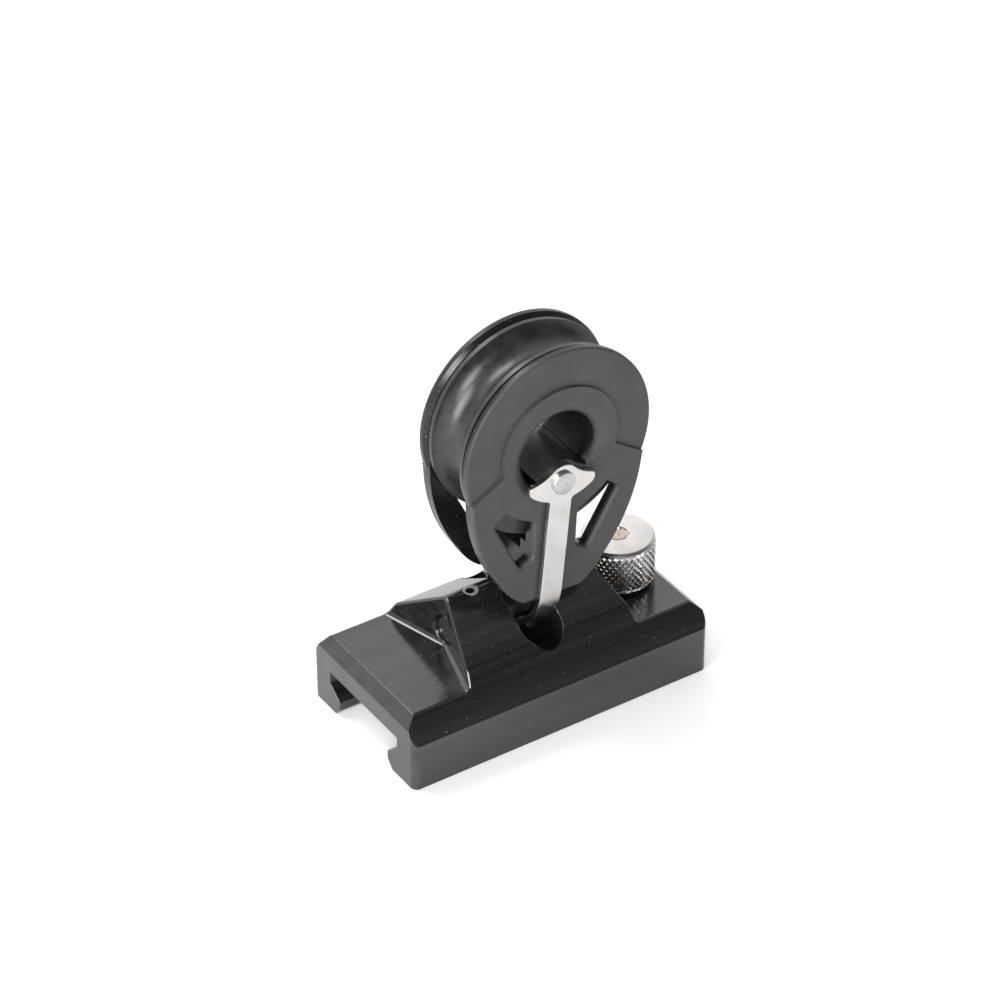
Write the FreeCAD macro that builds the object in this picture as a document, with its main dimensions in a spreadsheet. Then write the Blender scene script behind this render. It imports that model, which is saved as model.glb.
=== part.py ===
import FreeCAD, Part
import math
import os
import Sketcher
from FreeCAD import Placement, Rotation, Vector

# Pin stop car with a ball-bearing block. Millimetres, +Z up.
# X runs along the track, Y across it. The origin is under the car's middle, on the plane of its
# two leg undersides.

os.makedirs("parts", exist_ok=True)
doc = FreeCAD.newDocument("pin_stop_car")

SIZES = [
    # car body
    ("car_length", 66.0, "length along the track"),
    ("car_width", 35.0, "width over the side faces"),
    ("side_height", 9.9, "height of the upright side faces"),
    ("knee_half", 12.4, "half width where the steep band meets the roof"),
    ("knee_level", 18.2, "height of that line"),
    ("roof_peak", 26.2, "height where the two roof flanks would meet"),
    ("crest_round", 2.5, "rounding of the ridge crest"),
    ("knee_round", 3.5, "rounding between roof and steep band"),
    ("corner_round", 1.4, "rounding of the upright corners"),
    ("platform_level", 15.0, "height of both end platforms"),
    ("wall_inset", 18.3, "distance of the end walls' middle from the car's ends"),
    ("wall_splay", 0.28, "how fast the V-shaped end walls run outward"),
    ("wall_foot", 1.0, "fillet at the foot of the end walls"),
    ("wall_edge", 0.35, "bevel along the upper edges of the end walls"),
    ("end_bevel", 2.1, "bevel at the ends of the platforms"),
    ("slot_half", 4.2, "half width of the cross slot"),
    ("slot_end", 9.3, "distance of the slot's end centres from the middle"),
    ("slot_floor", 12.9, "height of the slot's floor"),
    ("slot_edge", 0.25, "bevel along the slot's rim"),
    # track channel
    ("channel_half", 11.6, "half width around the track's head"),
    ("channel_top", 8.7, "height of the channel's ceiling"),
    ("channel_ledge", 6.0, "height where the ledges start inward"),
    ("lip_half", 8.3, "half width between the lips"),
    ("lip_level", 3.6, "height of the lips' upper corners"),
    ("lip_foot", 1.8, "height where the lips open out again"),
    ("mouth_half", 9.9, "half width of the channel at the bottom"),
    # strap pin and its screw
    ("pin_level", 18.5, "height of the strap pin's axis"),
    ("pin_radius", 3.0, "radius of the strap pin"),
    ("pin_fit", 0.02, "radial play of the pin in the body"),
    ("pin_back", 0.1, "how far the pin stays behind the left end wall"),
    ("pin_short", 3.7, "how far the pin stays short of the right end wall"),
    ("pin_bevel", 0.4, "bevel at the pin's ends"),
    ("grub_share", 0.492, "place of the screw between the slot and the end wall"),
    ("grub_radius", 1.5, "radius of the screw"),
    ("grub_play", 0.03, "radial play of the screw in its thread"),
    ("grub_top", 25.25, "height of the screw's upper face"),
    ("grub_key", 0.87, "corner radius of the hexagon socket"),
    ("grub_key_deep", 1.5, "depth of the hexagon socket"),
    # plunger
    ("plunger_inset", 9.0, "distance of the plunger from the car's right end"),
    ("bush_radius", 4.0, "radius of the bush in the body"),
    ("bush_fit", 0.02, "radial play of the bush in the body"),
    ("collar_radius", 4.9, "radius of the bush above the platform"),
    ("bush_top", 22.4, "height of the bush's top"),
    ("bush_wall", 1.0, "thickness of the bush's top wall"),
    ("plunger_bore", 3.0, "radius of the bush's bore"),
    ("guide_play", 0.05, "radial play of the plunger's guided part"),
    ("plunger_radius", 2.75, "radius of the plunger's free end"),
    ("free_end", 8.5, "height where the plunger's free end begins"),
    ("shank_bore", 1.8, "radius of the hole in the bush's top wall"),
    ("shank_radius", 1.72, "radius of the plunger's shank"),
    ("plunger_tip", 3.2, "height of the plunger's tip"),
    ("tip_bevel", 0.7, "bevel at the plunger's tip"),
    ("shoulder_level", 12.0, "height of the plunger's shoulder"),
    ("plunger_top", 24.72, "height of the plunger's riveted end"),
    ("nib_radius", 0.55, "radius of the small nib on that end"),
    ("nib_high", 0.15, "height of that nib"),
    ("knob_radius", 7.25, "radius of the knob over the knurl"),
    ("knob_foot", 15.6, "height of the knob's underside"),
    ("knob_top", 24.9, "height of the knob's top"),
    ("knob_roof", 1.8, "thickness of the knob's top wall"),
    ("knob_bore", 5.3, "radius of the hollow in the knob"),
    ("knob_bevel", 0.5, "bevel of the knob's edges"),
    ("dish_radius", 2.15, "radius of the dish in the knob's top"),
    ("dish_deep", 0.35, "depth of that dish"),
    ("wire_radius", 0.26, "radius of the spring wire"),
    ("coil_radius", 2.35, "mean radius of the spring"),
    ("coil_turns", 6.0, "number of turns"),
    # strap
    ("lean", 5.5, "lean of the strap from the vertical, in degrees"),
    ("block_lean", 3.0, "lean of the block from the vertical, in degrees"),
    ("strap_place", 1.3, "where the strap's middle sits along the pin"),
    ("rivet_reach", 32.1, "distance of the rivet from the strap pin's axis"),
    ("hub_drop", 6.4, "distance of the rivet below the hub's axis"),
    ("strap_half", 2.35, "half width of the strap's legs"),
    ("strap_thick", 1.05, "thickness of the band"),
    ("strap_inner", 9.05, "half distance between the legs"),
    ("bend_level", 3.0, "height of the lower bends above the pin's axis"),
    ("bend_round", 11.5, "inner radius of the lower bends"),
    ("loop_inner", 3.5, "inner radius of the loop around the pin"),
    ("dome_radius", 3.55, "radius of the head's dome about the rivet"),
    ("wing_half", 7.2, "half span of the wings"),
    ("wing_drop", 0.55, "how far the wing tips lie below the rivet"),
    ("wing_radius", 10.5, "radius of the wings' lower edges about the hub's axis"),
    ("rivet_radius", 1.4, "radius of the rivet's shank"),
    ("rivet_play", 0.03, "radial play of the rivet"),
    ("rivet_head", 2.35, "radius of the rivet's heads"),
    ("rivet_side", 0.65, "height of the heads' side wall"),
    ("rivet_dome", 0.35, "rise of the heads' domed face"),
    ("rivet_rim", 0.25, "rounding of the heads' rims"),
    ("saddle_play", 0.35, "play of the saddle in the hub's bore"),
    ("saddle_rise", 0.5, "how far the saddle stands above the strap's heads"),
    ("saddle_share", 0.85, "half width of the saddle as a share of its radius"),
    # block
    ("cheek_radius", 20.0, "radius of the cheeks"),
    ("shoulder_share", 0.365, "where the cheeks leave their circle, as a share of their radius"),
    ("cheek_side_round", 36.0, "radius of the cheeks' sides"),
    ("hip_share", 0.57, "half width at the hips as a share of the cheeks' radius"),
    ("cheek_hip", 27.0, "distance of the hips below the axis"),
    ("cheek_hip_round", 14.0, "radius from the hips to the tip"),
    ("tip_half", 4.6, "half width of the flat tip"),
    ("tip_drop", 33.2, "distance of the tip below the axis"),
    ("cheek_inner", 5.9, "inner face of a cheek from the middle plane"),
    ("rim_bevel", 0.7, "bevel along the inner edge of the cheeks' circle"),
    ("band_face", 7.9, "face of the outer band from the middle plane"),
    ("cheek_face", 8.5, "outer face of a cheek from the middle plane"),
    ("band_radius", 12.45, "inner radius of the band"),
    ("band_start", 2.9, "where the band starts, below the axis"),
    ("band_share", 0.343, "where the band runs out, as a share of the cheeks' radius"),
    ("hub_bore", 7.2, "radius of the hub's bore"),
    ("bore_drop", 1.2, "how far the bore's centre lies below the hub's axis"),
    ("hub_radius", 10.4, "outer radius of the hub"),
    ("mouth_round", 3.5, "rounding of the bore's mouths"),
    ("tip_bevel_out", 1.15, "bevels at the tip, outside and inside"),
    ("edge_round", 0.4, "rounding of the cheeks' outer edges"),
    ("window_lip", 0.8, "rounding of the windows' outer edges"),
    ("spine_half", 4.9, "half width of the spine between the windows"),
    ("window_radius", 15.6, "radius of the windows' upper edge"),
    ("window_wide", 11.1, "where that edge ends, from the middle"),
    ("window_out", 13.6, "outer upper corner of a window, from the middle"),
    ("window_out_drop", 12.9, "that corner below the axis"),
    ("window_tip", 7.4, "lower corner of a window, from the middle"),
    ("window_tip_drop", 24.3, "that corner below the axis"),
    ("window_low", 22.9, "lower inner corner of a window below the axis"),
    ("window_round", 0.8, "rounding of the windows' corners"),
    ("rib_top", 20.4, "top of the spine's rib below the axis"),
    ("rib_inner", 4.3, "inner face of the spine's rib from the middle plane"),
    ("bridge_half", 4.3, "half width of the bridge between the cheeks"),
    ("bridge_top", 23.4, "top of the bridge below the axis"),
    ("bridge_foot", 29.6, "foot of the bridge below the axis"),
    ("rim_back", 0.6, "how far the sheave's rims stay inside the cheeks' circle"),
    ("sheave_half", 5.5, "half width over the rims"),
    ("rim_width", 0.9, "width of each rim"),
    ("groove_round", 4.75, "radius of the rope groove"),
    ("race_radius", 13.6, "radius of the sheave's bore"),
    ("ball_radius", 1.55, "radius of a bearing ball"),
    ("ball_count", 20.0, "number of balls"),
]

sheet = doc.addObject("Spreadsheet::Sheet", "Sizes")
for row, (alias, value, note) in enumerate(SIZES, start=1):
    sheet.set("A%d" % row, alias)
    sheet.set("B%d" % row, str(value))
    sheet.set("C%d" % row, note)
    sheet.setAlias("B%d" % row, alias)
doc.recompute()


class Size:
    """A length with the sheet formula that gives it."""

    def __init__(self, value, formula):
        self.value = float(value)
        self.formula = formula

    def __add__(self, other):
        other = as_size(other)
        return Size(self.value + other.value, "(%s + %s)" % (self.formula, other.formula))

    def __sub__(self, other):
        other = as_size(other)
        return Size(self.value - other.value, "(%s - %s)" % (self.formula, other.formula))

    def __mul__(self, other):
        other = as_size(other)
        return Size(self.value * other.value, "(%s * %s)" % (self.formula, other.formula))

    def __truediv__(self, other):
        other = as_size(other)
        return Size(self.value / other.value, "(%s / %s)" % (self.formula, other.formula))

    def __neg__(self):
        return Size(-self.value, "(0 - %s)" % self.formula)


def as_size(number):
    """Turn a plain number into a Size."""
    if isinstance(number, Size):
        return number
    return Size(number, repr(float(number)))


def of(alias):
    """Read one size from the sheet."""
    return Size(float(sheet.get(alias)), "Sizes." + alias)


def root(size):
    """Square root of a Size."""
    return Size(math.sqrt(size.value), "sqrt(%s)" % size.formula)


def sine(angle):
    """Sine of a Size in degrees."""
    return Size(math.sin(math.radians(angle.value)), "sin(%s)" % angle.formula)


def cosine(angle):
    """Cosine of a Size in degrees."""
    return Size(math.cos(math.radians(angle.value)), "cos(%s)" % angle.formula)


def bind(thing, prop, size):
    """Give a property its value and tie it to the sheet."""
    size = as_size(size)
    thing.setExpression(prop, size.formula)


def new_body(name):
    """A body whose label is the sub-part's name."""
    body = doc.addObject("PartDesign::Body", name)
    body.Label = name
    return body


def own(body, role):
    """One of the body's own planes or axes."""
    return next(item for item in body.Origin.OriginFeatures if item.Role == role)


def new_sketch(body, name, role, lift=None):
    """An empty sketch on one of the body's planes, lifted along that plane's normal."""
    sketch = body.newObject("Sketcher::SketchObject", name)
    sketch.AttachmentSupport = [(own(body, role), "")]
    sketch.MapMode = "FlatFace"
    if lift is not None:
        lift = as_size(lift)
        sketch.AttachmentOffset = Placement(Vector(0, 0, lift.value), Rotation())
        bind(sketch, "AttachmentOffset.Base.z", lift)
    return sketch


def hold(sketch, kind, places, size):
    """A dimension that reads the sheet."""
    size = as_size(size)
    number = sketch.addConstraint(Sketcher.Constraint(kind, *places, size.value))
    bind(sketch, "Constraints[%d]" % number, size)


def draw(sketch, corners, arcs=None):
    """A closed outline. arcs maps a side's number to (radius, side of the centre: 1 left, -1 right)."""
    arcs = arcs or {}
    spots = [Vector(as_size(a).value, as_size(b).value, 0) for a, b in corners]
    starts = []
    for i, first in enumerate(spots):
        last = spots[(i + 1) % len(spots)]
        if i in arcs:
            radius, side = arcs[i]
            radius = as_size(radius)
            along = last - first
            square = Vector(-along.y, along.x, 0).normalize()
            depth = math.sqrt(max(radius.value ** 2 - along.Length ** 2 / 4, 0))
            centre = (first + last) * 0.5 + square * depth * side
            turn = [math.atan2(p.y - centre.y, p.x - centre.x) for p in (first, last)]
            if side < 0:
                turn.reverse()
            circle = Part.Circle(centre, Vector(0, 0, 1), radius.value)
            number = sketch.addGeometry(Part.ArcOfCircle(circle, turn[0], turn[1]), False)
            starts.append((number, 1, 2) if side > 0 else (number, 2, 1))
        else:
            number = sketch.addGeometry(Part.LineSegment(first, last), False)
            starts.append((number, 1, 2))
    for i, (number, start, end) in enumerate(starts):
        following = starts[(i + 1) % len(starts)]
        sketch.addConstraint(Sketcher.Constraint("Coincident", number, end, following[0], following[1]))
    for i, (number, start, end) in enumerate(starts):
        hold(sketch, "DistanceX", (-1, 1, number, start), corners[i][0])
        hold(sketch, "DistanceY", (-1, 1, number, start), corners[i][1])
        if i in arcs:
            hold(sketch, "Radius", (number,), arcs[i][0])
    return sketch


def ring(sketch, across, up, radius):
    """A circle in a sketch."""
    across, up, radius = as_size(across), as_size(up), as_size(radius)
    centre = Vector(across.value, up.value, 0)
    number = sketch.addGeometry(Part.Circle(centre, Vector(0, 0, 1), radius.value), False)
    hold(sketch, "DistanceX", (-1, 1, number, 3), across)
    hold(sketch, "DistanceY", (-1, 1, number, 3), up)
    hold(sketch, "Radius", (number,), radius)
    return sketch


def volume(body):
    """Volume of a body as it stands."""
    doc.recompute()
    return body.Shape.Volume if not body.Shape.isNull() else 0.0


def pad(body, sketch, length, both=False, back=False):
    """Add material along the sketch's normal."""
    feature = body.newObject("PartDesign::Pad", sketch.Name + "_pad")
    feature.Profile = sketch
    bind(feature, "Length", length)
    feature.Midplane = both
    feature.Reversed = back
    doc.recompute()
    return feature


def pocket(body, sketch, length, both=False, back=False):
    """Cut material. The plain direction is against the sketch's normal; back cuts along it."""
    before = volume(body)
    feature = body.newObject("PartDesign::Pocket", sketch.Name + "_pocket")
    feature.Profile = sketch
    bind(feature, "Length", length)
    feature.Midplane = both
    feature.Reversed = back
    if volume(body) > before - 1e-3:
        raise RuntimeError("pocket cut nothing: " + sketch.Name)
    return feature


def turned(body, sketch, role):
    """Turn an outline a full circle about one of the body's axes."""
    feature = body.newObject("PartDesign::Revolution", sketch.Name + "_turned")
    feature.Profile = sketch
    feature.ReferenceAxis = (own(body, role), [""])
    feature.Angle = 360.0
    doc.recompute()
    return feature


def edges_where(shape, test):
    """Names of the edges whose middle point and ends pass a test."""
    names = []
    for i, edge in enumerate(shape.Edges, start=1):
        if edge.Length < 1e-6:
            continue
        middle = edge.valueAt(edge.FirstParameter + (edge.LastParameter - edge.FirstParameter) / 2)
        ends = [v.Point for v in edge.Vertexes]
        if test(middle, ends, edge):
            names.append("Edge%d" % i)
    return names


def rounded(body, kind, prop, size, test):
    """Fillet or chamfer the edges that pass a test."""
    doc.recompute()
    base = body.Tip
    names = edges_where(base.Shape, test)
    if not names:
        raise RuntimeError("no edges found for %s on %s" % (kind, body.Label))
    feature = body.newObject("PartDesign::" + kind, body.Name + "_" + kind.lower())
    feature.Base = (base, names)
    bind(feature, prop, size)
    doc.recompute()
    return feature


def fillet(body, size, test):
    return rounded(body, "Fillet", "Radius", size, test)


def chamfer(body, size, test):
    return rounded(body, "Chamfer", "Size", size, test)


def near(value, target, slack=0.02):
    return abs(value - target) < slack


def put(thing, across=0, along=0, up=0, lean=None, turn=0.0):
    """Place a sub-part. turn is about its own upright, lean about Y."""
    spot = [as_size(across), as_size(along), as_size(up)]
    angle = lean.value if lean is not None else 0.0
    rotation = Rotation(Vector(0, 1, 0), angle) * Rotation(Vector(0, 0, 1), turn)
    thing.Placement = Placement(Vector(*[s.value for s in spot]), rotation)
    for axis, size in zip("xyz", spot):
        if "Sizes." in size.formula:
            bind(thing, "Placement.Base." + axis, size)
    if lean is not None and turn == 0.0:
        bind(thing, "Placement.Rotation.Angle", lean)


half_width = of("car_width") / 2
half_length = of("car_length") / 2
wall_reach = half_length - of("wall_inset")
plunger_x = half_length - of("plunger_inset")
grub_x = (of("slot_half") + wall_reach) * of("grub_share")
lean = of("lean")
block_lean = of("block_lean")
pin_level = of("pin_level")
hub_reach = of("rivet_reach") + of("hub_drop")
hub_x = of("strap_place") + sine(lean) * hub_reach
hub_z = pin_level + cosine(lean) * hub_reach
rivet_x = of("strap_place") + sine(lean) * of("rivet_reach")
rivet_z = pin_level + cosine(lean) * of("rivet_reach")

# Car body: the ridge profile runs the whole length first
car = new_body("car_body")
profile = new_sketch(car, "ridge_profile", "YZ_Plane")
draw(profile, [
    (half_width, 0),
    (half_width, of("side_height")),
    (of("knee_half"), of("knee_level")),
    (0, of("roof_peak")),
    (-of("knee_half"), of("knee_level")),
    (-half_width, of("side_height")),
    (-half_width, 0),
])
pad(car, profile, of("car_length"), both=True)
peak = of("roof_peak").value
knee = (of("knee_half").value, of("knee_level").value)
fillet(car, of("crest_round"), lambda m, e, edge: near(m.y, 0) and near(m.z, peak) and near(m.x, 0))
fillet(car, of("knee_round"), lambda m, e, edge: near(abs(m.y), knee[0]) and near(m.z, knee[1]) and near(m.x, 0))

# End platforms: everything outside the V-shaped end walls goes down to the platform level
for side, word in ((-1, "left"), (1, "right")):
    plan = new_sketch(car, word + "_platform", "XY_Plane", of("platform_level"))
    outer = half_length + 2
    wide = half_width + 2
    foot = wall_reach + of("wall_splay") * wide
    corners = [
        (wall_reach * side, 0),
        (foot * side, -wide * side),
        (outer * side, -wide * side),
        (outer * side, wide * side),
        (foot * side, wide * side),
    ]
    draw(plan, corners)
    pocket(car, plan, of("roof_peak") - of("platform_level") + 2, back=True)

level = of("platform_level").value
reach = wall_reach.value
splay = of("wall_splay").value


def on_wall(point):
    """Is the point in one of the V-shaped end walls?"""
    return near(abs(point.x), reach + splay * abs(point.y), 0.03)


def wall_foot_edge(m, e, edge):
    """Edges along the foot of the end walls."""
    return near(m.z, level) and reach - 0.5 < abs(m.x) < reach + splay * half_width.value


# Tool radius in the middle of each V, then the fillet along the foot of the walls
fillet(car, 3.0, lambda m, e, edge: near(m.y, 0) and near(abs(m.x), reach) and m.z > level + 1)
fillet(car, of("wall_foot"), wall_foot_edge)


def is_upright(ends):
    return len(ends) == 2 and near(ends[0].x, ends[1].x) and near(ends[0].y, ends[1].y)


def wall_top(m, e, edge):
    """Edges along the top of the V-shaped end walls, down to the fillet at their foot."""
    beside = abs(abs(m.x) - reach - splay * abs(m.y)) < 0.45
    return beside and m.z > level + of("wall_foot").value + 0.3 and not is_upright(e)


chamfer(car, of("wall_edge"), wall_top)

# Bevels at both ends and rounded upright corners
end = half_length.value
chamfer(car, of("end_bevel"), lambda m, e, edge: near(m.z, level) and near(abs(m.x), end) and near(m.y, 0))
side = half_width.value


def upright_corner(m, e, edge):
    """The upright corners of the two side faces."""
    return near(abs(m.x), end) and near(abs(m.y), side) and m.z < of("side_height").value


fillet(car, of("corner_round"), upright_corner)

# Cross slot with round ends
slot = new_sketch(car, "slot_middle", "XY_Plane", of("slot_floor"))
draw(slot, [
    (of("slot_half"), -of("slot_end")),
    (of("slot_half"), of("slot_end")),
    (-of("slot_half"), of("slot_end")),
    (-of("slot_half"), -of("slot_end")),
])
above = of("roof_peak") - of("slot_floor")
pocket(car, slot, above, back=True)
for side_sign, word in ((-1, "near"), (1, "far")):
    slot_round = new_sketch(car, word + "_slot_end", "XY_Plane", of("slot_floor"))
    ring(slot_round, 0, of("slot_end") * side_sign, of("slot_half"))
    pocket(car, slot_round, above, back=True)
slot_side = of("slot_half").value
slot_turn = of("slot_end").value


def slot_rim(m, e, edge):
    """Edges along the slot's rim, on its straight sides and round ends."""
    off = math.hypot(m.x, max(abs(m.y) - slot_turn, 0))
    return near(off, slot_side, 0.03) and m.z > of("slot_floor").value + 0.5 and not is_upright(e)


chamfer(car, of("slot_edge"), slot_rim)

# Bore of the strap pin, open in the left end wall and blind on the right
pin_right = wall_reach - of("pin_short")
bore = new_sketch(car, "pin_bore", "YZ_Plane", pin_right)
ring(bore, 0, pin_level, of("pin_radius") + of("pin_fit"))
pocket(car, bore, pin_right + wall_reach + 3)

# Threaded hole of the grub screw, from the crest into the pin's bore
tapped = new_sketch(car, "grub_hole", "XY_Plane", pin_level)
ring(tapped, -grub_x, 0, of("grub_radius") + of("grub_play"))
pocket(car, tapped, of("roof_peak") - pin_level, back=True)

# Channel that wraps the track's head, with lips that reach under it
channel = new_sketch(car, "track_channel", "YZ_Plane")
draw(channel, [
    (of("mouth_half"), -1),
    (of("mouth_half"), 0),
    (of("lip_half"), of("lip_foot")),
    (of("lip_half"), of("lip_level")),
    (of("channel_half"), of("channel_ledge")),
    (of("channel_half"), of("channel_top")),
    (-of("channel_half"), of("channel_top")),
    (-of("channel_half"), of("channel_ledge")),
    (-of("lip_half"), of("lip_level")),
    (-of("lip_half"), of("lip_foot")),
    (-of("mouth_half"), 0),
    (-of("mouth_half"), -1),
])
pocket(car, channel, of("car_length") + 2, both=True)

# Hole of the plunger bush in the right platform
bush_hole = new_sketch(car, "bush_hole", "XY_Plane", of("platform_level") + 1)
ring(bush_hole, plunger_x, 0, of("bush_radius") + of("bush_fit"))
pocket(car, bush_hole, of("platform_level") - of("channel_top") + 3)

# Strap pin, bevelled at both ends
pin = new_body("strap_pin")
pin_left = wall_reach - of("pin_back")
pin_outline = new_sketch(pin, "pin_outline", "XZ_Plane")
draw(pin_outline, [
    (-pin_left, 0),
    (pin_right, 0),
    (pin_right, of("pin_radius") - of("pin_bevel")),
    (pin_right - of("pin_bevel"), of("pin_radius")),
    (of("pin_bevel") - pin_left, of("pin_radius")),
    (-pin_left, of("pin_radius") - of("pin_bevel")),
])
turned(pin, pin_outline, "X_Axis")
put(pin, up=pin_level)

# Grub screw with its hexagon socket
screw_rod = doc.addObject("Part::Cylinder", "screw_rod")
bind(screw_rod, "Radius", of("grub_radius"))
bind(screw_rod, "Height", of("grub_top") - pin_level - of("pin_radius"))
screw_key = doc.addObject("Part::Prism", "screw_key")
screw_key.Polygon = 6
bind(screw_key, "Circumradius", of("grub_key"))
bind(screw_key, "Height", of("grub_key_deep") + 1)
bind(screw_key, "Placement.Base.z", of("grub_top") - pin_level - of("pin_radius") - of("grub_key_deep"))
grub = doc.addObject("Part::Cut", "grub_screw")
grub.Base = screw_rod
grub.Tool = screw_key
grub.Label = "grub_screw"
put(grub, across=-grub_x, up=pin_level + of("pin_radius"))

# Plunger bush: it fills the hole in the platform and stands up inside the knob
bush = new_body("plunger_bush")
bush_outline = new_sketch(bush, "bush_outline", "XZ_Plane")
draw(bush_outline, [
    (of("plunger_bore"), of("channel_top") + 0.1),
    (of("bush_radius"), of("channel_top") + 0.1),
    (of("bush_radius"), of("platform_level")),
    (of("collar_radius"), of("platform_level")),
    (of("collar_radius"), of("bush_top")),
    (of("shank_bore"), of("bush_top")),
    (of("shank_bore"), of("bush_top") - of("bush_wall")),
    (of("plunger_bore"), of("bush_top") - of("bush_wall")),
])
turned(bush, bush_outline, "Z_Axis")
put(bush, across=plunger_x)

# Plunger pin: thick lower end, shoulder for the spring, thin shank up to the riveted end
plunger = new_body("plunger_pin")
plunger_outline = new_sketch(plunger, "plunger_outline", "XZ_Plane")
draw(plunger_outline, [
    (0, of("plunger_tip")),
    (of("plunger_radius") - of("tip_bevel"), of("plunger_tip")),
    (of("plunger_radius"), of("plunger_tip") + of("tip_bevel")),
    (of("plunger_radius"), of("free_end")),
    (of("plunger_bore") - of("guide_play"), of("free_end")),
    (of("plunger_bore") - of("guide_play"), of("shoulder_level")),
    (of("shank_radius"), of("shoulder_level")),
    (of("shank_radius"), of("plunger_top")),
    (of("nib_radius"), of("plunger_top")),
    (0, of("plunger_top") + of("nib_high")),
])
turned(plunger, plunger_outline, "Z_Axis")
put(plunger, across=plunger_x)

# Knob: a cup over the bush, with a shallow dish around the plunger's riveted end
knob = new_body("plunger_knob")
knob_outline = new_sketch(knob, "knob_outline", "XZ_Plane")
draw(knob_outline, [
    (of("knob_bore"), of("knob_foot")),
    (of("knob_radius") - of("knob_bevel"), of("knob_foot")),
    (of("knob_radius"), of("knob_foot") + of("knob_bevel")),
    (of("knob_radius"), of("knob_top") - of("knob_bevel")),
    (of("knob_radius") - of("knob_bevel"), of("knob_top")),
    (of("dish_radius"), of("knob_top")),
    (of("dish_radius") - of("dish_deep") / 2, of("knob_top") - of("dish_deep")),
    (of("shank_radius"), of("knob_top") - of("dish_deep")),
    (of("shank_radius"), of("knob_top") - of("knob_roof")),
    (of("knob_bore"), of("knob_top") - of("knob_roof")),
])
turned(knob, knob_outline, "Z_Axis")
put(knob, across=plunger_x)

# Spring around the shank, from the shoulder to the bush's top wall
spring_room = of("bush_top") - of("bush_wall") - of("shoulder_level")
helix = doc.addObject("Part::Helix", "spring_line")
bind(helix, "Height", spring_room - of("wire_radius") * 2)
bind(helix, "Pitch", (spring_room - of("wire_radius") * 2) / of("coil_turns"))
bind(helix, "Radius", of("coil_radius"))
wire = doc.addObject("Part::Circle", "spring_wire")
bind(wire, "Radius", of("wire_radius"))
wire.Placement = Placement(Vector(of("coil_radius").value, 0, 0), Rotation(Vector(1, 0, 0), 90))
bind(wire, "Placement.Base.x", of("coil_radius"))
spring = doc.addObject("Part::Sweep", "plunger_spring")
spring.Sections = [wire]
spring.Spine = (helix, ["Edge1"])
spring.Solid = True
spring.Frenet = True
spring.Label = "plunger_spring"
put(spring, across=plunger_x, up=of("shoulder_level") + of("wire_radius"))

# Hanger strap, drawn upright with the strap pin's axis as its origin.
# The side view gives the band: two legs, two bends and the loop around the pin.
strap = new_body("hanger_strap")
strap_outer = of("strap_inner") + of("strap_thick")
loop_outer = of("loop_inner") + of("strap_thick")
head_top = of("rivet_reach") + of("dome_radius") + 2
bend_y = of("strap_inner").value
bend_z = of("bend_level").value
far_off = math.hypot(bend_y, bend_z)
slope = math.atan2(bend_z, bend_y) + math.asin(of("loop_inner").value / far_off)
foot_y = of("loop_inner").value * math.sin(slope)
foot_z = -of("loop_inner").value * math.cos(slope)
outer_bend_z = bend_z - of("strap_thick").value * math.tan((math.pi / 2 - slope) / 2)
out_y = loop_outer.value * math.sin(slope)
out_z = -loop_outer.value * math.cos(slope)
band = new_sketch(strap, "band_side_view", "YZ_Plane")
draw(band, [
    (strap_outer, head_top),
    (of("strap_inner"), head_top),
    (of("strap_inner"), of("bend_level")),
    (foot_y, foot_z),
    (-foot_y, foot_z),
    (-of("strap_inner"), of("bend_level")),
    (-of("strap_inner"), head_top),
    (-strap_outer, head_top),
    (-strap_outer, outer_bend_z),
    (-out_y, out_z),
    (out_y, out_z),
    (strap_outer, outer_bend_z),
], arcs={3: (of("loop_inner"), -1), 9: (loop_outer, 1)})
pad(strap, band, of("wing_half") * 2 + 2, both=True)
fillet(strap, of("bend_round"), lambda m, e, edge: near(abs(m.y), bend_y) and near(m.z, bend_z))
fillet(strap, of("bend_round") + of("strap_thick"),
       lambda m, e, edge: near(abs(m.y), strap_outer.value) and near(m.z, outer_bend_z))

# The front view cuts that band to its legs and its winged heads
rivet_reach = of("rivet_reach")
dome_side = of("dome_radius") * 0.55
dome_up = of("dome_radius") * 0.8351647
wing_tip = rivet_reach - of("wing_drop")
wing_low_half = of("wing_half") - 0.75
wing_low = hub_reach - root(of("wing_radius") * of("wing_radius") - wing_low_half * wing_low_half)
neck_half = of("strap_half") + 0.55
neck = hub_reach - root(of("wing_radius") * of("wing_radius") - neck_half * neck_half)
foot_depth = loop_outer + 2
frame_half = of("wing_half") + 3
right_half = [
    (of("strap_half"), -foot_depth),
    (of("strap_half"), neck - 0.7),
    (neck_half, neck),
    (wing_low_half, wing_low),
    (of("wing_half"), wing_tip),
    (of("wing_half") - 0.85, wing_tip + 1.1),
    (dome_side, rivet_reach + dome_up),
]
left_half = [(-as_size(a), b) for a, b in reversed(right_half)]
front = new_sketch(strap, "head_front_view", "XZ_Plane")
draw(front, right_half + left_half, arcs={
    1: (0.9, -1), 2: (of("wing_radius"), 1), 3: (1.5, 1), 4: (1.1, 1), 5: (9.0, -1),
    6: (of("dome_radius"), 1),
    7: (9.0, -1), 8: (1.1, 1), 9: (1.5, 1), 10: (of("wing_radius"), 1), 11: (0.9, -1),
})
draw(front, [
    (frame_half, -foot_depth - 1),
    (frame_half, head_top + 1),
    (-frame_half, head_top + 1),
    (-frame_half, -foot_depth - 1),
])
pocket(strap, front, strap_outer * 2 + 4, both=True)
rivet_hole = new_sketch(strap, "rivet_hole", "XZ_Plane")
ring(rivet_hole, 0, rivet_reach, of("rivet_radius") + of("rivet_play"))
pocket(strap, rivet_hole, strap_outer * 2 + 4, both=True)
put(strap, across=of("strap_place"), up=pin_level, lean=lean)

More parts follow.
